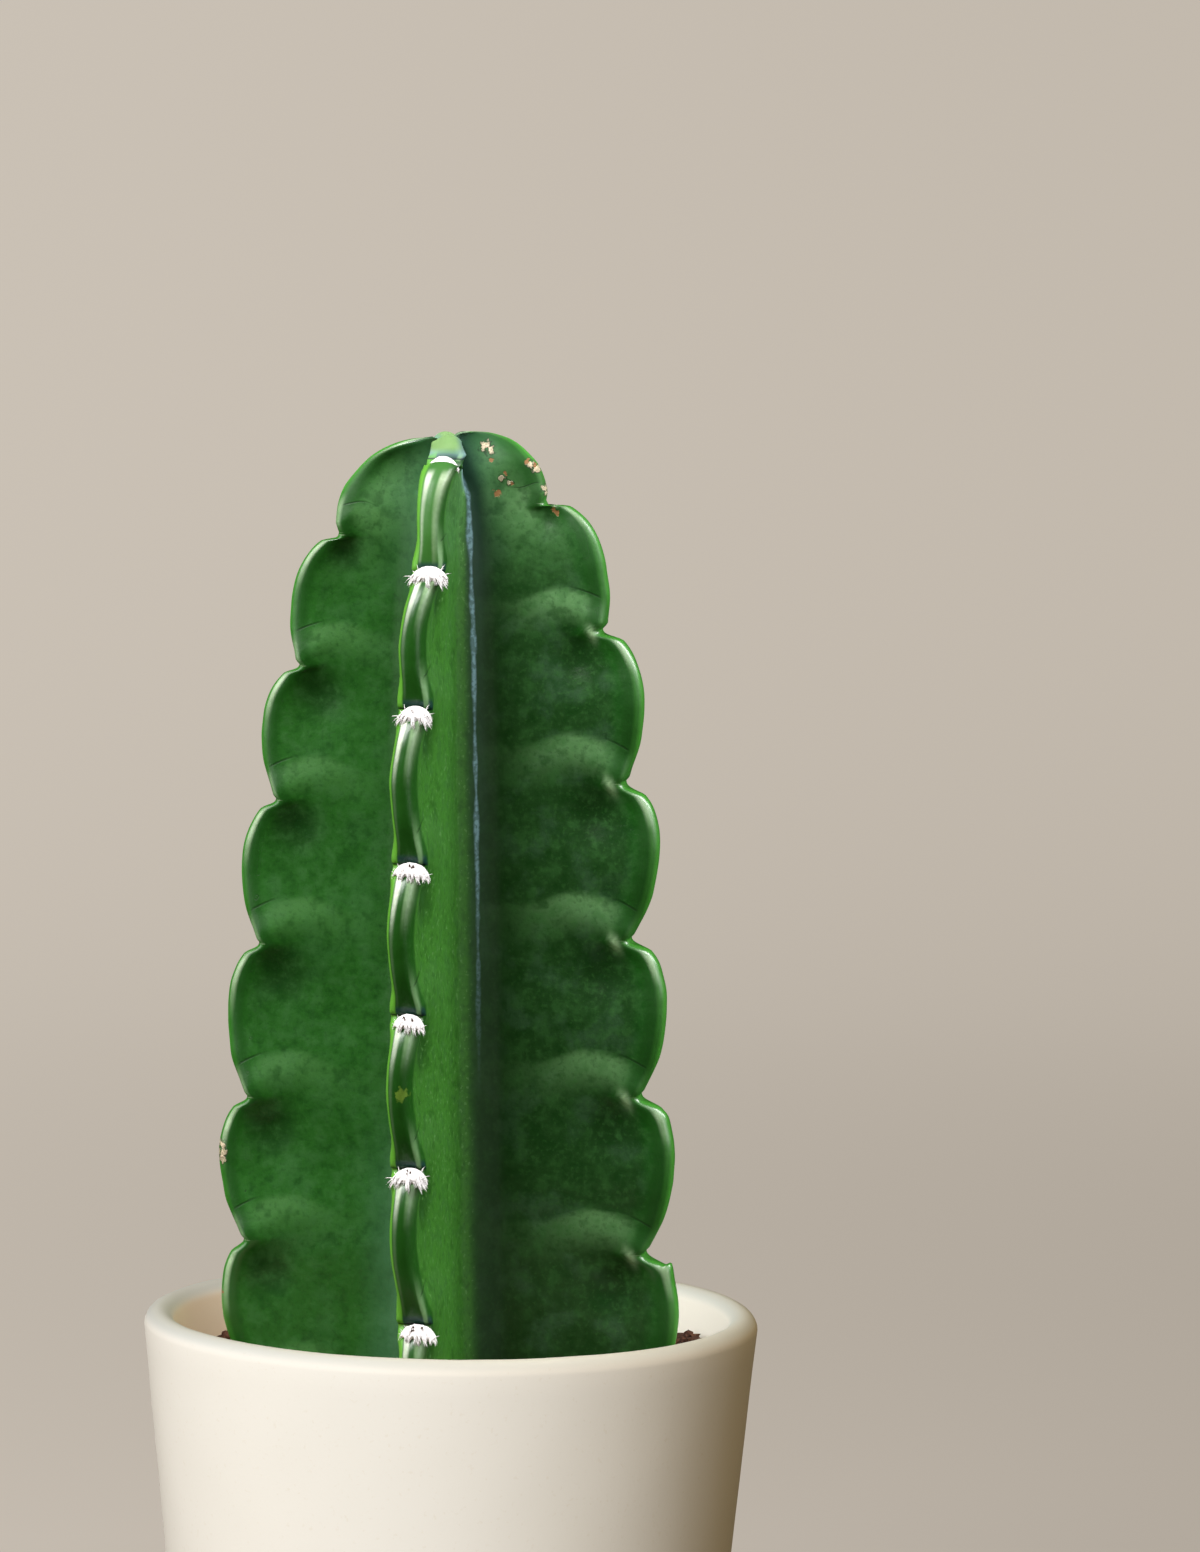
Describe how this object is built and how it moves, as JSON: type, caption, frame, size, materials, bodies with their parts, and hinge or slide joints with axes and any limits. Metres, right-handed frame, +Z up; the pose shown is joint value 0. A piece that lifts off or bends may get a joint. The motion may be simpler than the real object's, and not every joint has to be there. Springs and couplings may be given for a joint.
{
  "type": "potted cereus",
  "caption": "Columnar cactus with deep scalloped ribs and white woolly areoles, standing in potting mix in a plain tapered cream ceramic pot",
  "frame": {"origin": "On the surface that the pot stands on, under the centre of the pot", "axes": "+Z up along the pot's axis, -Y to the front where a rib faces the viewer, +X to the viewer's right"},
  "size_m": [0.15, 0.15, 0.3546],
  "materials": {
    "pot_glaze": "matte",
    "potting_mix": "matte",
    "cactus_skin": "satin"
  },
  "bodies": {
    "root": {"pot": "pot_glaze", "soil": "potting_mix", "cactus": "cactus_skin"}
  },
  "joints": []
}
